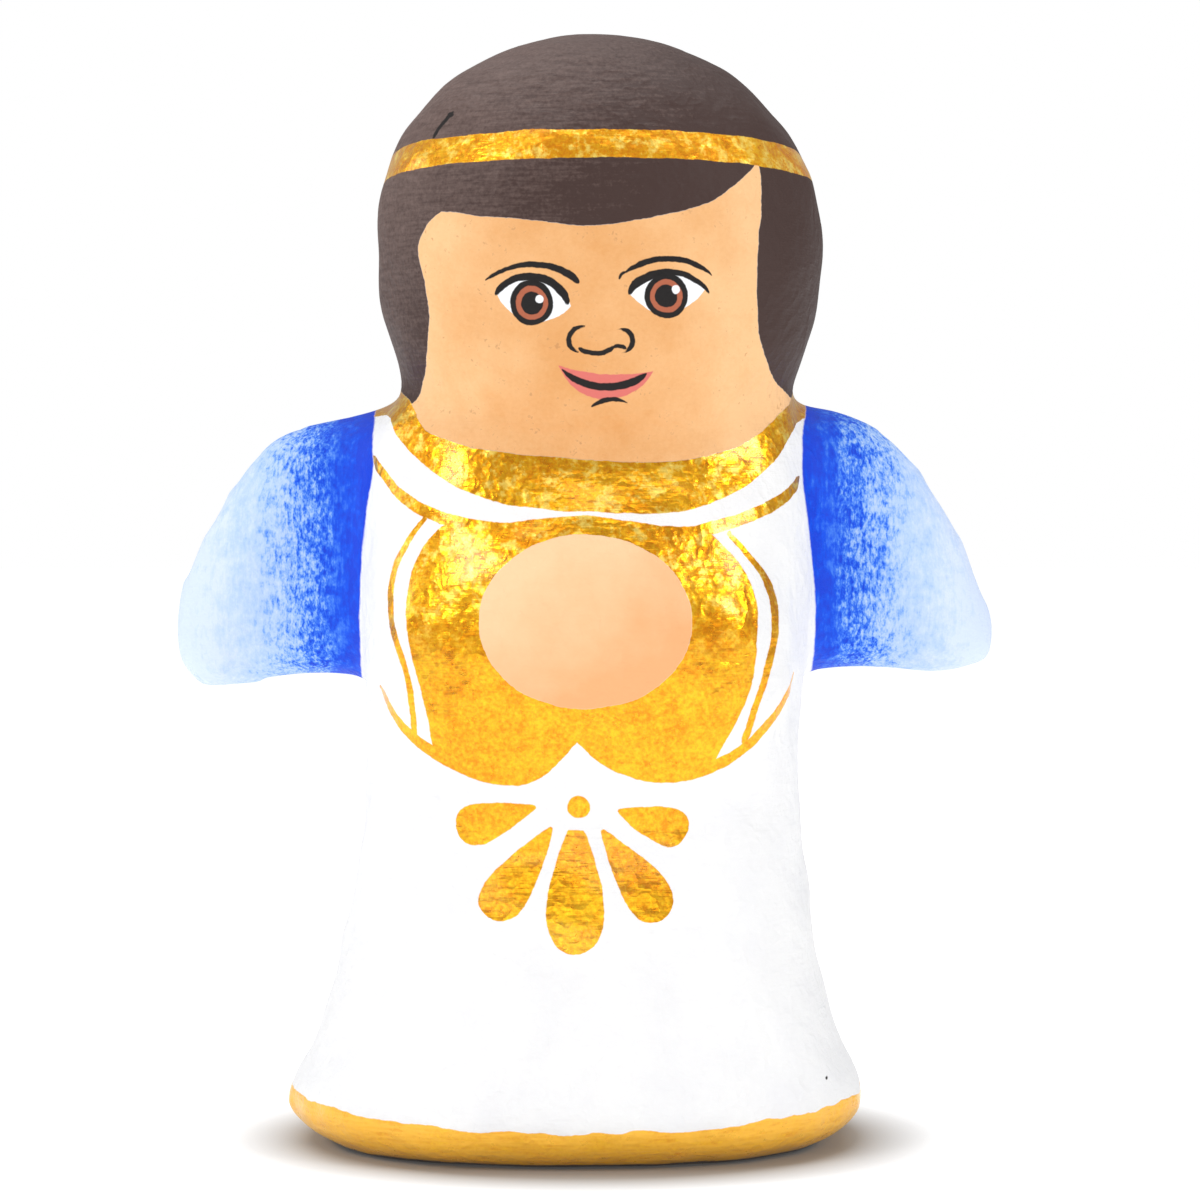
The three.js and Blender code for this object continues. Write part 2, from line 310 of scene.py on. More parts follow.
# The head: skin in front, framed by a swept fringe and straight side hair; hair all round behind.
collar_top = mixed(
    drawn_curve(
        x,
        [(-60, 203.5), (-50, 202.5), (-46.5, 200.2), (-42.5, 193), (-36, 189.8), (-30, 187.8), (-18, 186),
         (-6, 184.9), (14.5, 183.8), (30, 184.9), (43.5, 189.7), (50, 195), (55, 199.6), (62, 203.5)],
    ),
    204.0,
    calc(tree, "MULTIPLY_ADD", y, 1 / 16, 0.75, clamp=True),
)
collar_foot = mixed(
    drawn_curve(
        x,
        [(-60, 200), (-54, 198), (-49, 189.9), (-40.5, 181.8), (-27, 174.8), (-14, 171.9), (4, 170.9),
         (25, 171.2), (38, 175.3), (49, 183.1), (57, 193.8), (63, 199)],
    ),
    195.5,
    calc(tree, "MULTIPLY_ADD", y, 1 / 16, 0.75, clamp=True),
)
head = below(collar_top, z)
collar = but_not(below(collar_foot, z), head)

fringe = drawn_curve(
    x,
    [(-46, 248.6), (-39, 248.4), (-35.7, 248.3), (-27, 246.8), (-16, 245.8), (-7, 244.7), (2, 244),
     (10, 244.9), (18.5, 246.4), (26.5, 248.2), (32.5, 250.6), (38.5, 254.8), (42.6, 258.6),
     (45.5, 263.6), (48, 268)],
)
hair_left = drawn_curve(
    z,
    [(184, -58), (198, -48), (201, -44), (204.5, -42.8), (212, -41.2), (219, -40.4), (224, -40.4),
     (230, -41.4), (237, -43), (241.5, -42.7), (245, -40.8), (247.7, -38), (250, -32)],
)
hair_right = drawn_curve(
    z,
    [(184, 60), (200, 56), (202.5, 53.3), (204.5, 50.9), (209.5, 48.1), (216.5, 45.7), (224, 44.8),
     (232, 44.6), (241, 44.9), (249.5, 45.7), (258, 45.8), (262, 44.7), (268, 44)],
)
face = both(head, on_front, below(z, fringe), below(hair_left, x), below(x, hair_right))
hair = but_not(head, face)

# The headband: a ring of gold paint, a little lower at the back of the head.
BAND_LEVEL = 261.6
BAND_TILT = -0.083
BAND_HALF = 3.85
band_middle = calc(tree, "MULTIPLY_ADD", y, BAND_TILT, BAND_LEVEL)
band = below(calc(tree, "ABSOLUTE", calc(tree, "SUBTRACT", z, band_middle)), BAND_HALF)

# The wings: ultramarine at the body, dabbed paler with an almost dry brush towards the tips.
wing_left = drawn_curve(
    z,
    [(120, -61), (126, -60.9), (136, -60.7), (147, -60.4), (158, -59.8), (174, -58),
     (182, -56.6), (190, -57), (198, -57)],
)
wing_right = drawn_curve(
    z,
    [(120, 62), (128, 61.9), (136, 62.1), (147, 61.9), (158, 61), (168.5, 59.7),
     (179, 58.4), (190, 58.5), (198, 60)],
)
WING_TOP = 206
WING_FOOT = 116
wings = both(
    either(below(x, wing_left, 0.5), below(wing_right, x, 0.5)),
    below(z, WING_TOP),
    below(WING_FOOT, z),
)

# The gown's gilding: collar, folded sleeves, a flower of petals below them, and the hem.
sleeve_top = drawn_curve(
    x,
    [(-58, 187), (-56.3, 184.6), (-53.1, 180.6), (-49.5, 176.2), (-45, 173), (-41.6, 171.2),
     (-35, 168.8), (-22, 166.6), (-12, 167.3), (-3.6, 168.2), (4, 168), (14.5, 166.4), (27, 165.6),
     (35, 167.4), (42, 169.4), (48.6, 172.1), (54.3, 175.8), (57.5, 180)],
)
sleeve_foot = drawn_curve(
    x,
    [(-54, 124.5), (-53, 122.8), (-49.6, 117.4), (-45, 112.6), (-39.6, 108.8), (-33.6, 105.4), (-27, 103),
     (-20.2, 101.7), (-14.5, 102.3), (-10, 104.5), (-6.3, 108.1), (-1.9, 113), (1.5, 109.8), (5.4, 106.8),
     (11.8, 103.9), (19.2, 102.4), (26.5, 103), (34.5, 105.4), (41.3, 109.2), (47, 114.6),
     (52.5, 121.8), (55.3, 128)],
    corners=(-1.9,),
)
sleeve_left = drawn_curve(
    z,
    [(100, -38.5), (109, -39.3), (117, -40.5), (127.4, -43.1), (137.7, -45.7), (150.6, -45.9), (158, -44),
     (162.3, -41.6), (166.7, -37.5), (169, -34)],
)
sleeve_right = drawn_curve(
    z,
    [(100, 31), (108.7, 35.2), (116, 39), (125, 42.9), (138, 44.8), (149.4, 44.3),
     (157, 40.6), (163.6, 34.8), (167, 31)],
)
sleeves = both(
    below(z, sleeve_top), below(sleeve_foot, z), below(sleeve_left, x), below(x, sleeve_right), on_front
)


def line_group():
    """A stroke along a drawn line: full in its middle, and thinner where the brush is set down and lifted."""
    group = bpy.data.node_groups.new("brush_line", "ShaderNodeTree")
    group_inputs(group, Across=0.0, Along=0.0, Start=0.0, End=1.0, Half_Width=1.0, Taper=3.0, Edge=EDGE)
    group.interface.new_socket("Mask", in_out="OUTPUT", socket_type="NodeSocketFloat")
    given = new_node(group, "NodeGroupInput").outputs
    from_start = calc(group, "SUBTRACT", given["Along"], given["Start"])
    to_end = calc(group, "SUBTRACT", given["End"], given["Along"])
    nearest_end = calc(group, "MINIMUM", from_start, to_end)
    pressed = calc(group, "POWER", calc(group, "DIVIDE", nearest_end, given["Taper"], clamp=True), 0.5)
    half = calc(group, "MULTIPLY", pressed, given["Half Width"])
    inside = calc(group, "SUBTRACT", half, calc(group, "ABSOLUTE", given["Across"]))
    soft = calc(group, "ADD", calc(group, "DIVIDE", inside, given["Edge"]), 0.5, clamp=True)
    mask = calc(group, "MULTIPLY", soft, calc(group, "GREATER_THAN", pressed, 0.01))
    group.links.new(mask, new_node(group, "NodeGroupOutput").inputs["Mask"])
    return group


brush_line = line_group()


def use_group(group, **values):
    """Places a node group in the paint and returns its outputs."""
    node = new_node(tree, "ShaderNodeGroup", node_tree=group)
    for name, value in values.items():
        feed(tree, node.inputs[name.replace("_", " ")], value)
    return node.outputs


def line(across, along, start, end, half_width, taper=3.0):
    return use_group(
        brush_line,
        Across=across,
        Along=along,
        Start=start,
        End=end,
        Half_Width=half_width,
        Taper=taper,
        Edge=EDGE,
    )["Mask"]


top_line = line(calc(tree, "SUBTRACT", z, sleeve_top), x, -56.8, 57.5, 1.75, 1.2)
foot_line = line(calc(tree, "SUBTRACT", z, sleeve_foot), x, -54.4, 55.5, 1.6, 2.5)
outer_left = drawn_curve(
    z,
    [(109, -44.3), (122, -45), (130, -46.5), (137.5, -49.2), (145, -50.6), (154, -50.1),
     (162, -46.9), (169, -41.6)],
)
outer_right = drawn_curve(
    z,
    [(108, 40.6), (119.6, 44.3), (132.5, 48.2), (142.7, 49.7), (151.8, 47.9), (159, 43.1), (165, 37.6)],
)
outer_lines = either(
    line(calc(tree, "SUBTRACT", x, outer_left), z, 111.5, 170, 0.85, 2),
    line(calc(tree, "SUBTRACT", x, outer_right), z, 110.5, 166, 1.0, 2),
)
outlines = both(either(top_line, foot_line, outer_lines), on_front)


def vector_calc(tree, operation, *values, output=0):
    """One Vector Math node; output 1 is its single number, for a length or a dot product."""
    node = new_node(tree, "ShaderNodeVectorMath", operation=operation)
    for socket, value in zip(node.inputs, values):
        feed(tree, socket, value)
    return node.outputs[output]


def dab_group():
    """A painted dab: a disc or an oval."""
    group = bpy.data.node_groups.new("painted_dab", "ShaderNodeTree")
    group_inputs(group, Place=(0, 0, 0), Middle=(0, 0, 0), Shrink=(1, 0, 1), Crispness=1.0)
    group.interface.new_socket("Mask", in_out="OUTPUT", socket_type="NodeSocketFloat")
    given = new_node(group, "NodeGroupInput").outputs
    offset = vector_calc(group, "SUBTRACT", given["Place"], given["Middle"])
    reach = vector_calc(group, "LENGTH", vector_calc(group, "MULTIPLY", offset, given["Shrink"]), output=1)
    inside = calc(group, "SUBTRACT", 1.0, reach)
    mask = calc(group, "MULTIPLY_ADD", inside, given["Crispness"], 0.5, clamp=True)
    group.links.new(mask, new_node(group, "NodeGroupOutput").inputs["Mask"])
    return group


painted_dab = dab_group()


def dab(middle, radius_x, radius_z=None):
    return use_group(
        painted_dab,
        Place=seen_from_front,
        Middle=(middle[0], 0, middle[1]),
        Shrink=(1 / radius_x, 0, 1 / (radius_z or radius_x)),
        Crispness=radius_x / EDGE,
    )["Mask"]


hands = both(dab((0.35, 142.8), 27.4, 22.4), on_front)


def petal_group():
    """A petal laid down in two strokes: a narrow tip, widest towards the far end, and round there."""
    group = bpy.data.node_groups.new("painted_petal", "ShaderNodeTree")
    group_inputs(
        group,
        Place=(0, 0, 0),
        Tip=(0, 0, 0),
        Way=(0, 0, -1),
        Aside=(1, 0, 0),
        Length=10.0,
        Half_Width=3.0,
        Tip_Half=0.3,
        Roundness=5.0,
    )
    group.interface.new_socket("Mask", in_out="OUTPUT", socket_type="NodeSocketFloat")
    given = new_node(group, "NodeGroupInput").outputs
    offset = vector_calc(group, "SUBTRACT", given["Place"], given["Tip"])
    along = vector_calc(group, "DOT_PRODUCT", offset, given["Way"], output=1)
    across = calc(group, "ABSOLUTE", vector_calc(group, "DOT_PRODUCT", offset, given["Aside"], output=1))
    share = calc(group, "DIVIDE", along, given["Length"], clamp=True)
    widening = calc(group, "POWER", share, 0.8)
    rounded_end = calc(group, "POWER", share, given["Roundness"])
    rounding_off = calc(group, "SQRT", calc(group, "SUBTRACT", 1.0, rounded_end))
    full = calc(group, "MULTIPLY_ADD", widening, given["Half Width"], given["Tip Half"])
    inside = calc(group, "SUBTRACT", calc(group, "MULTIPLY", full, rounding_off), across)
    soft = calc(group, "MULTIPLY_ADD", inside, 1 / EDGE, 0.5, clamp=True)
    started = calc(group, "MULTIPLY_ADD", along, 1 / EDGE, 0.5, clamp=True)
    ended = calc(group, "LESS_THAN", along, given["Length"])
    mask = calc(group, "MULTIPLY", calc(group, "MULTIPLY", soft, started), ended)
    group.links.new(mask, new_node(group, "NodeGroupOutput").inputs["Mask"])
    return group


painted_petal = petal_group()


def petal(tip, end, half_width, tip_half=0.3, roundness=5.0):
    way = Vector((end[0] - tip[0], 0, end[1] - tip[1]))
    length = way.length
    way.normalize()
    shares = [step / 40 for step in range(40)]
    fullest = max(share**0.8 * math.sqrt(1 - share**roundness) for share in shares)
    return use_group(
        painted_petal,
        Place=seen_from_front,
        Tip=(tip[0], 0, tip[1]),
        Way=way,
        Aside=(way.z, 0, -way.x),
        Length=length,
        Half_Width=(half_width - tip_half) / fullest,
        Tip_Half=tip_half,
        Roundness=roundness,
    )["Mask"]


flower = both(
    either(
        dab((-1.4, 94.3), 3.0),
        petal((-12.6, 94.6), (-33.2, 88.0), 5.4),
        petal((8.6, 93.4), (26.8, 87.4), 5.2),
        petal((-8.2, 88.9), (-25.0, 65.6), 6.0),
        petal((4.6, 88.4), (20.8, 65.4), 6.0),
        petal((-2.2, 88.2), (-2.5, 56.3), 7.8, tip_half=1.9, roundness=3.2),
    ),
    on_front,
)

HEM_FRONT = 11.5
HEM_RISE = 4.0
HEM_HALF_WIDTH = 76.0
HEM_STRAY = 3.0
HEM_STRAY_SIZE = 9.0
side_share = calc(tree, "DIVIDE", x, HEM_HALF_WIDTH)
hem_top = calc(tree, "MULTIPLY_ADD", calc(tree, "MULTIPLY", side_share, side_share), HEM_RISE, HEM_FRONT)
hem_stray = noise(tree, place_mm, 1 / HEM_STRAY_SIZE, detail=1)
hem_top = calc(tree, "MULTIPLY_ADD", hem_stray, HEM_STRAY, calc(tree, "SUBTRACT", hem_top, HEM_STRAY / 2))
hem = below(z, hem_top)

gold = either(but_not(either(collar, sleeves, outlines, flower, hem), either(hands, wings)), band)
skin = either(face, hands)


# The face: simple features drawn in dark strokes with a fine brush, over whites, brown irises and pink lips.
def arc_group():
    """A short curved brush stroke: part of a circle, thin at its ends, and wider towards one if it leans."""
    group = bpy.data.node_groups.new("brush_arc", "ShaderNodeTree")
    group_inputs(
        group,
        Place=(0, 0, 0),
        Middle=(0, 0, 0),
        Way=(1, 0, 0),
        Facing=(0, 0, 1),
        Radius=5.0,
        Half_Length=5.0,
        Half_Width=0.8,
        Lean=0.0,
        Taper=2.0,
    )
    group.interface.new_socket("Mask", in_out="OUTPUT", socket_type="NodeSocketFloat")
    given = new_node(group, "NodeGroupInput").outputs
    offset = vector_calc(group, "SUBTRACT", given["Place"], given["Middle"])
    out = vector_calc(group, "LENGTH", offset, output=1)
    across = calc(group, "ABSOLUTE", calc(group, "SUBTRACT", out, given["Radius"]))
    along = vector_calc(group, "DOT_PRODUCT", offset, given["Way"], output=1)
    left = calc(group, "SUBTRACT", given["Half Length"], calc(group, "ABSOLUTE", along))
    pressed = calc(group, "SQRT", calc(group, "DIVIDE", left, given["Taper"], clamp=True))
    leaning = calc(group, "MULTIPLY_ADD", along, given["Lean"], given["Half Width"])
    half = calc(group, "MULTIPLY", pressed, leaning)
    soft = calc(group, "MULTIPLY_ADD", calc(group, "SUBTRACT", half, across), 1 / EDGE, 0.5, clamp=True)
    right_side = vector_calc(group, "DOT_PRODUCT", offset, given["Facing"], output=1)
    drawn_part = calc(group, "GREATER_THAN", calc(group, "MINIMUM", left, right_side), 0.0)
    mask = calc(group, "MULTIPLY", soft, drawn_part)
    group.links.new(mask, new_node(group, "NodeGroupOutput").inputs["Mask"])
    return group


brush_arc = arc_group()


def circle_through(start, middle, end):
    """Centre and radius of the circle through three points."""
    (ax, az), (bx, bz), (cx, cz) = start, middle, end
    turn = 2 * (ax * (bz - cz) + bx * (cz - az) + cx * (az - bz))
    a, b, c = (px * px + pz * pz for px, pz in (start, middle, end))
    centre_x = (a * (bz - cz) + b * (cz - az) + c * (az - bz)) / turn
    centre_z = (a * (cx - bx) + b * (ax - cx) + c * (bx - ax)) / turn
    centre = Vector((centre_x, centre_z))
    return centre, (centre - Vector(start)).length


def stroke(start, middle, end, half_width, lean=0.0, taper=2.0):
    """A stroke from start through middle to end. With lean above 0 it is wider towards its far end."""
    centre, radius = circle_through(start, middle, end)
    chord = Vector((end[0] - start[0], 0, end[1] - start[1]))
    half_length = chord.length / 2
    facing = Vector((start[0] + end[0] - 2 * centre.x, 0, start[1] + end[1] - 2 * centre.y)).normalized()
    chord.normalize()
    return use_group(
        brush_arc,
        Place=seen_from_front,
        Middle=(centre.x, 0, centre.y),
        Way=chord,
        Facing=facing,
        Radius=radius,
        Half_Length=half_length,
        Half_Width=half_width,
        Lean=lean * half_width / half_length,
        Taper=taper,
    )["Mask"]


def round_mask(start, middle, end):
    """The inside of the circle through three points."""
    centre, radius = circle_through(start, middle, end)
    return dab((centre.x, centre.y), radius)


eyes = [
    {
        "iris": (-13.4, 224.6),
        "iris_radii": (5.5, 5.9),
        "lid": ((-23.0, 227.0), (-15.9, 231.1), (-3.7, 224.7)),
        "lid_half": 0.98,
        "lid_lean": 0.12,
        "below_left": ((-22.3, 226.7), (-20.1, 223.6), (-17.0, 221.0)),
        "below_right": ((-3.4, 223.7), (-6.1, 221.5), (-9.5, 219.9)),
        "glint": (-11.5, 225.6),
        "brow": ((-25.4, 230.4), (-13.4, 234.3), (-1.1, 229.9)),
        "brow_half": 0.74,
        "brow_lean": 0.42,
        "brow_taper": 1.6,
    },
    {
        "iris": (21.1, 226.3),
        "iris_radii": (5.6, 5.7),
        "lid": ((11.2, 227.3), (20.8, 232.2), (32.2, 227.1)),
        "lid_half": 0.86,
        "lid_lean": -0.4,
        "below_left": ((11.7, 226.8), (13.9, 224.7), (16.5, 222.7)),
        "below_right": ((30.0, 226.7), (28.1, 224.7), (25.6, 223.1)),
        "glint": (23.6, 228.0),
        "brow": ((10.4, 231.9), (22.4, 235.7), (33.0, 231.5)),
        "brow_half": 0.76,
        "brow_lean": -0.05,
        "brow_taper": 4.0,
    },
]
IRIS_BROWN = 0.74  # share of the iris inside its dark ring
PUPIL = 0.51
GLINT = 1.08

eye_whites = []
dark_marks = []
iris_marks = []
pupil_marks = []
glints = []
for eye in eyes:
    radius_x, radius_z = eye["iris_radii"]
    eye_whites.append(both(*[round_mask(*eye[edge]) for edge in ("lid", "below_left", "below_right")]))
    dark_marks.append(dab(eye["iris"], radius_x, radius_z))
    dark_marks.append(stroke(*eye["lid"], eye["lid_half"], eye["lid_lean"], 1.0))
    dark_marks.append(stroke(*eye["brow"], eye["brow_half"], eye["brow_lean"], eye["brow_taper"]))
    iris_marks.append(dab(eye["iris"], radius_x * IRIS_BROWN, radius_z * IRIS_BROWN))
    pupil_marks.append(dab(eye["iris"], radius_x * PUPIL, radius_z * PUPIL))
    glints.append(dab(eye["glint"], GLINT))

brow_hook = stroke((8.9, 230.5), (9.5, 231.5), (10.9, 232.3), 0.36, taper=0.6)
nose = either(
    stroke((0.2, 218.6), (-3.9, 215.6), (-1.6, 212.0), 0.62, 0.0, 1.0),
    stroke((9.3, 218.2), (12.4, 215.2), (10.9, 212.0), 0.66, 0.0, 1.0),
    stroke((-1.5, 213.1), (4.2, 211.8), (8.0, 213.3), 0.6, 0.0, 0.8),
    stroke((7.3, 213.0), (9.2, 213.5), (11.0, 212.9), 0.5, 0.0, 0.8),
)
mouth = stroke((-5.9, 207.6), (4.8, 203.1), (16.3, 206.6), 0.92, 0.15, 3.0)
chin = stroke((1.8, 198.2), (6.6, 199.9), (11.2, 198.9), 0.6, -0.3, 3.0)
lips = but_not(
    round_mask((-6.6, 208.6), (5.6, 199.9), (17.8, 207.3)),
    round_mask((-6.6, 208.6), (6.0, 206.3), (17.8, 207.3)),
)
LIPS_TOP = 208.8
lips = both(lips, below(z, LIPS_TOP))
ink = both(either(*dark_marks, brow_hook, nose, mouth, chin), on_front)


# The finish of each paint, and how the brush and the paper below show through it.
fibres = noise(tree, place_mm, 1 / 1.1, detail=2, roughness=0.7)
mottle = noise(tree, place_mm, 1 / 16, detail=3, roughness=0.6)
fine_mottle = noise(tree, place_mm, 1 / 4, detail=3, roughness=0.6)


def stretched(along_x, along_y, along_z):
    """The place squeezed along each axis, so that noise on it runs in streaks."""
    node = new_node(tree, "ShaderNodeMapping")
    tree.links.new(place_mm, node.inputs["Vector"])
    node.inputs["Scale"].default_value = (along_x, along_y, along_z)
    return node.outputs[0]


CROWN_TOP = 296
CROWN_FALL = 12
beside_crown = calc(tree, "MULTIPLY_ADD", z, -1 / CROWN_FALL, CROWN_TOP / CROWN_FALL, clamp=True)
level_streaks = noise(tree, stretched(0.12, 0.12, 1.1), 1.0, detail=2, roughness=0.6)
level_streaks = mixed(0.5, level_streaks, beside_crown)
upright_streaks = noise(tree, stretched(0.9, 0.9, 0.09), 1.0, detail=2, roughness=0.6)

GOWN_WHITE = srgb(243, 243, 243)
GOWN_SHADE = srgb(236, 236, 238)
gown_colour = coloured(GOWN_SHADE, GOWN_WHITE, calc(tree, "MULTIPLY_ADD", mottle, 2.2, -0.6, clamp=True))

# Wing colour by the distance from the body, broken up where the dry brush only touched the high fibres.
WING_BLUES = (
    (60, srgb(16, 66, 214)),
    (66, srgb(4, 82, 230)),
    (73, srgb(66, 128, 240)),
    (78, srgb(128, 172, 245)),
    (86, srgb(176, 204, 248)),
    (104, srgb(212, 226, 250)),
)
WING_FROM = 60
WING_REACH = 50
outwards = calc(tree, "ABSOLUTE", x)
dryness = drawn_curve(outwards, [(60, 5), (66, 12), (73, 52), (80, 50), (90, 26), (108, 15)])
dab_grain = noise(tree, stretched(1.0, 1.0, 0.5), 1.0, detail=2, roughness=0.75)
dabbed = calc(tree, "MULTIPLY_ADD", calc(tree, "SUBTRACT", dab_grain, 0.5), dryness, outwards)
dabbed = calc(tree, "MULTIPLY_ADD", calc(tree, "SUBTRACT", fine_mottle, 0.5), 30.0, dabbed)
dabbed = calc(tree, "MULTIPLY_ADD", calc(tree, "SUBTRACT", upright_streaks, 0.5), 14.0, dabbed)
wing_ramp = new_node(tree, "ShaderNodeValToRGB")
wing_stops = wing_ramp.color_ramp.elements
while len(wing_stops) < len(WING_BLUES):
    wing_stops.new(0.5)
for stop, (reach, blue) in zip(wing_stops, WING_BLUES):
    stop.position = (reach - WING_FROM) / WING_REACH
    stop.color = blue
wing_share = calc(tree, "MULTIPLY_ADD", dabbed, 1 / WING_REACH, -WING_FROM / WING_REACH)
tree.links.new(wing_share, wing_ramp.inputs[0])
wing_colour = wing_ramp.outputs[0]

GOLD_DEEP = srgb(230, 142, 2)
GOLD_FULL = srgb(254, 196, 30)
gold_grain = calc(tree, "MULTIPLY_ADD", fibres, 3.0, calc(tree, "MULTIPLY", fine_mottle, 1.3))
gold_grain = calc(tree, "MULTIPLY_ADD", mottle, 1.5, gold_grain)
gold_share = calc(tree, "MULTIPLY_ADD", gold_grain, 0.8, -1.85, clamp=True)
gold_colour = coloured(GOLD_DEEP, GOLD_FULL, gold_share)
# Small patches of pale gold on the gilding above 132 mm: painted glints, where the highlights fall on the
# upper collar, sleeves and headband.
GOLD_PAINTED_GLINT = srgb(255, 220, 104)
GLINT_FROM = 132
GLINT_REACH = 25
glint_spots = calc(tree, "MULTIPLY_ADD", fibres, 0.4, calc(tree, "ADD", fine_mottle, -0.72))
glint_spots = calc(tree, "MULTIPLY", glint_spots, 6.0, clamp=True)
glint_above = calc(tree, "MULTIPLY_ADD", z, 1 / GLINT_REACH, -GLINT_FROM / GLINT_REACH, clamp=True)
gold_colour = coloured(gold_colour, GOLD_PAINTED_GLINT, calc(tree, "MULTIPLY", glint_spots, glint_above))
HEM_OCHRE = srgb(255, 192, 60)
brushed_out = calc(tree, "MULTIPLY_ADD", level_streaks, 2.4, -0.4, clamp=True)
gold_colour = coloured(gold_colour, HEM_OCHRE, calc(tree, "MULTIPLY", hem, brushed_out))

SKIN = srgb(244, 194, 140)
SKIN_SHADE = srgb(226, 164, 102)
# The face is painted darker in its middle, a painted shade, and lighter towards its sides, a painted sheen
# from the side lights; random mottle and fibres break it up.
face_sheen_and_mottle = calc(tree, "MULTIPLY_ADD", calc(tree, "MULTIPLY", x, x), 1 / 2400, -0.74)
face_sheen_and_mottle = calc(tree, "MULTIPLY_ADD", mottle, 1.4, face_sheen_and_mottle)
face_sheen_and_mottle = calc(tree, "MULTIPLY_ADD", fibres, 0.5, face_sheen_and_mottle, clamp=True)
skin_colour = coloured(SKIN_SHADE, SKIN, face_sheen_and_mottle)
SMUDGE = srgb(176, 118, 70)
smudges = calc(tree, "MULTIPLY_ADD", calc(tree, "MULTIPLY", fibres, fine_mottle), 12.0, -4.25, clamp=True)
skin_colour = coloured(skin_colour, SMUDGE, calc(tree, "MULTIPLY", smudges, 0.45))
HAND_SKIN = srgb(248, 206, 160)
HAND_SHADE = srgb(238, 176, 122)
# The hands are painted lighter towards the top and the left, a painted highlight, and darker towards the
# bottom and the right, a painted shade; random mottle breaks it up.
hand_painted_light = calc(tree, "MULTIPLY_ADD", z, 1 / 40, -143 / 40)
hand_painted_light = calc(tree, "MULTIPLY_ADD", x, -1 / 60, hand_painted_light)
hand_painted_light = calc(tree, "MULTIPLY_ADD", mottle, 1.0, hand_painted_light, clamp=True)
skin_colour = coloured(skin_colour, coloured(HAND_SHADE, HAND_SKIN, hand_painted_light), hands)

HAIR = srgb(66, 48, 44)
HAIR_WORN_AND_SHEEN = srgb(124, 104, 98)
# Paler hair in random worn streaks, plus a painted sheen that grows towards the top and the left of the head.
hair_wear_and_sheen = calc(tree, "MULTIPLY_ADD", calc(tree, "ADD", fibres, level_streaks), 0.8, -0.72)
hair_wear_and_sheen = calc(tree, "MULTIPLY_ADD", x, -1 / 115, hair_wear_and_sheen)
hair_wear_and_sheen = calc(tree, "MULTIPLY_ADD", z, 1 / 130, calc(tree, "ADD", hair_wear_and_sheen, -264 / 130), clamp=True)
hair_colour = coloured(HAIR, HAIR_WORN_AND_SHEEN, hair_wear_and_sheen)
DARK = srgb(26, 20, 19)
# A dark stroke with a dot at its upper end, in the hair where a slit is: painted shade, as the slit is not in
# the mesh.
hair_slit_shade = stroke((-39.8, 267.2), (-37.4, 271.4), (-34.2, 275.2), 0.42, lean=0.3, taper=2.0)
hair_colour = coloured(hair_colour, DARK, both(either(hair_slit_shade, dab((-35, 274.3), 0.7)), on_front))

INK = srgb(24, 20, 20)
EYE_WHITE = srgb(244, 246, 250)
IRIS = srgb(176, 98, 70)
LIPS = srgb(220, 116, 108)

FLECK = (63.9, 21.5)
# The lowest 1.2 mm of the figure is painted dark grey-brown: a painted contact shadow along the foot.
FOOT_SHADOW_TOP = 1.2
FOOT_PAINTED_SHADOW = srgb(96, 84, 74)
colour = coloured(gown_colour, DARK, both(dab(FLECK, 0.3, 0.45), on_front))
colour = coloured(colour, wing_colour, wings)
colour = coloured(colour, gold_colour, but_not(gold, band))
colour = coloured(colour, skin_colour, skin)
colour = coloured(colour, hair_colour, hair)
colour = coloured(colour, gold_colour, band)
colour = coloured(colour, EYE_WHITE, both(either(*eye_whites), on_front))
colour = coloured(colour, LIPS, both(lips, on_front))
colour = coloured(colour, INK, ink)
colour = coloured(colour, IRIS, both(either(*iris_marks), on_front))
colour = coloured(colour, INK, both(either(*pupil_marks), on_front))
colour = coloured(colour, EYE_WHITE, both(either(*glints), on_front))
colour = coloured(colour, FOOT_PAINTED_SHADOW, below(z, FOOT_SHADOW_TOP, 0.5))
tree.links.new(colour, surface.inputs["Base Color"])

gold_only = but_not(gold, either(ink, hands))
GOLD_METAL = 0.85
HEM_METAL = 0.15
BAND_METAL = 0.6
metal = mixed(mixed(GOLD_METAL, HEM_METAL, hem), BAND_METAL, band)
tree.links.new(calc(tree, "MULTIPLY", gold_only, metal), surface.inputs["Metallic"])
tree.links.new(calc(tree, "MULTIPLY", gold_only, 0.4), surface.inputs["Coat Weight"])
surface.inputs["Coat Roughness"].default_value = 0.15

roughness = mixed(0.55, calc(tree, "MULTIPLY_ADD", fine_mottle, 0.4, 0.13), gold_only)
tree.links.new(roughness, surface.inputs["Roughness"])
surface.inputs["Specular IOR Level"].default_value = 0.25

# Relief too fine for the mesh, in millimetres: paper fibres, wrinkled gold and the ridges the brush leaves.
wrinkled = noise(tree, place_mm, 1 / 6.5, detail=2)
wrinkle_height = calc(tree, "MULTIPLY", calc(tree, "ABSOLUTE", calc(tree, "SUBTRACT", wrinkled, 0.5)), -1.2)
beyond_body = calc(tree, "MULTIPLY_ADD", calc(tree, "ABSOLUTE", place_across), 1 / 4, -60 / 4, clamp=True)
fibre_height = calc(tree, "MULTIPLY", fibres, mixed(0.07, 0.28, beyond_body))
brush_height = calc(tree, "MULTIPLY", level_streaks, 0.12)
relief_height = calc(tree, "ADD", calc(tree, "ADD", wrinkle_height, fibre_height), brush_height)
bump = new_node(tree, "ShaderNodeBump")
bump.inputs["Strength"].default_value = 1.0
bump.inputs["Distance"].default_value = MM
tree.links.new(relief_height, bump.inputs["Height"])
tree.links.new(bump.outputs[0], surface.inputs["Normal"])


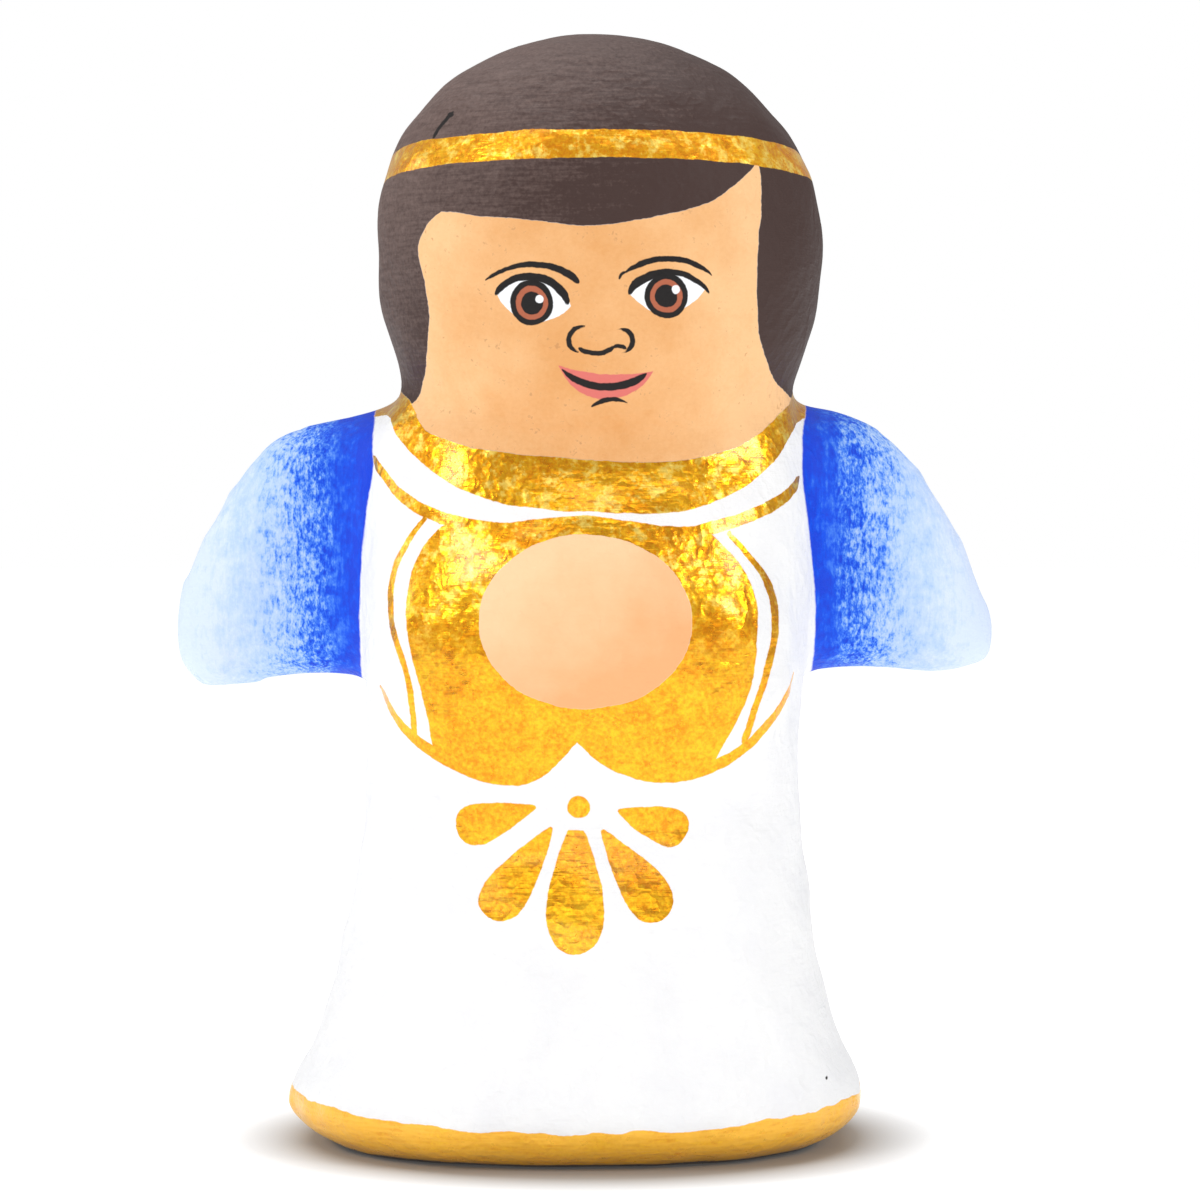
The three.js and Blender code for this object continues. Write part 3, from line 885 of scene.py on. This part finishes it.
# The stage: a sheet of pale paper under the figure, white air around it, and soft lights on every side.
# The sheet glows a little away from the figure, so it stays white, and its shade stays close to the hem.
sheet_mesh = bpy.data.meshes.new("pale_sheet")
SHEET_HALF_WIDTH = 4.0
SHEET_FRONT = -3.0
SHEET_BACK = 5.0
sheet_mesh.from_pydata(
    [
        (-SHEET_HALF_WIDTH, SHEET_FRONT, 0),
        (SHEET_HALF_WIDTH, SHEET_FRONT, 0),
        (SHEET_HALF_WIDTH, SHEET_BACK, 0),
        (-SHEET_HALF_WIDTH, SHEET_BACK, 0),
    ],
    [],
    [(0, 1, 2, 3)],
)
sheet = bpy.data.objects.new("pale_sheet", sheet_mesh)
bpy.context.scene.collection.objects.link(sheet)
sheet_paper = bpy.data.materials.new("sheet_paper")
sheet_paper.use_nodes = True
sheet_paper.node_tree.nodes["Principled BSDF"].inputs["Base Color"].default_value = (0.4, 0.4, 0.4, 1)
sheet_paper.node_tree.nodes["Principled BSDF"].inputs["Roughness"].default_value = 0.9
sheet_paper.node_tree.nodes["Principled BSDF"].inputs["Emission Color"].default_value = (1, 1, 1, 1)
sheet_place = new_node(sheet_paper.node_tree, "ShaderNodeTexCoord").outputs["Object"]
FOOTPRINT = (1 / 0.078, 1 / 0.056, 0)  # one over the half sizes of the place under the figure, in metres
sheet_share = vector_calc(sheet_paper.node_tree, "MULTIPLY", sheet_place, FOOTPRINT)
sheet_reach = vector_calc(sheet_paper.node_tree, "LENGTH", sheet_share, output=1)
GLOW_RISE = 2.2
GLOW_FROM = 2.05
GLOW_MOST = 0.88
GLOW_LEAST = 0.035
glow = calc(sheet_paper.node_tree, "MULTIPLY_ADD", sheet_reach, GLOW_RISE, -GLOW_FROM, clamp=True)
glow = calc(sheet_paper.node_tree, "MINIMUM", glow, GLOW_MOST)
glow = calc(sheet_paper.node_tree, "MAXIMUM", glow, GLOW_LEAST)
feed(sheet_paper.node_tree, sheet_paper.node_tree.nodes["Principled BSDF"].inputs["Emission Strength"], glow)
sheet_mesh.materials.append(sheet_paper)

world = bpy.data.worlds.new("studio")
world.use_nodes = True
world.node_tree.nodes["Background"].inputs["Color"].default_value = (1, 1, 1, 1)
air = world.node_tree
seen = new_node(air, "ShaderNodeLightPath").outputs["Is Camera Ray"]
AIR_LIGHT = 0.41
feed(air, air.nodes["Background"].inputs["Strength"], calc(air, "MAXIMUM", seen, AIR_LIGHT))
bpy.context.scene.world = world


def softbox(name, place_m, target_m, size, power):
    light = bpy.data.lights.new(name, "AREA")
    light.shape = "RECTANGLE"
    light.size, light.size_y = size
    light.energy = power
    lamp = bpy.data.objects.new(name, light)
    lamp.location = place_m
    lamp.rotation_euler = (Vector(target_m) - Vector(place_m)).to_track_quat("-Z", "Y").to_euler()
    bpy.context.scene.collection.objects.link(lamp)


CHEST = (0, 0, 0.15)
softbox("key_left", (-0.85, -0.7, 0.8), CHEST, (0.25, 0.27), 3.15)
softbox("fill_right", (0.95, -0.6, 0.65), CHEST, (0.25, 0.27), 3.1)
softbox("side_left", (-1.15, 0.1, 0.5), CHEST, (0.35, 0.8), 2.2)
softbox("overhead", (0, 0, 1.3), CHEST, (1.4, 1.2), 10)
softbox("front_low", (-0.1, -1.1, 0.09), (0, 0, 0.02), (0.9, 0.15), 1.1)

# The camera stands a little above the figure's chest and looks slightly down, as in the photograph.
CAMERA_DISTANCE = 850 * MM
CAMERA_HEIGHT = 181 * MM
CAMERA_ACROSS = 4.08 * MM
AIM_HEIGHT = 146.5 * MM
PIXELS_PER_MM = 3.68  # of the 1200-pixel picture, at the figure's middle plane
FRAME_PIXELS = 1200
camera_data = bpy.data.cameras.new("camera")
camera = bpy.data.objects.new("camera", camera_data)
bpy.context.scene.collection.objects.link(camera)
camera.location = (CAMERA_ACROSS, -CAMERA_DISTANCE, CAMERA_HEIGHT)
view_line = Vector((0, CAMERA_DISTANCE, AIM_HEIGHT - CAMERA_HEIGHT))
camera.rotation_euler = view_line.to_track_quat("-Z", "Y").to_euler()
camera_data.sensor_width = 36
camera_data.lens = 36 * PIXELS_PER_MM * view_line.length / MM / FRAME_PIXELS
camera_data.clip_start = 0.05
camera_data.clip_end = 20
bpy.context.scene.camera = camera
bpy.context.scene.view_settings.view_transform = "Standard"
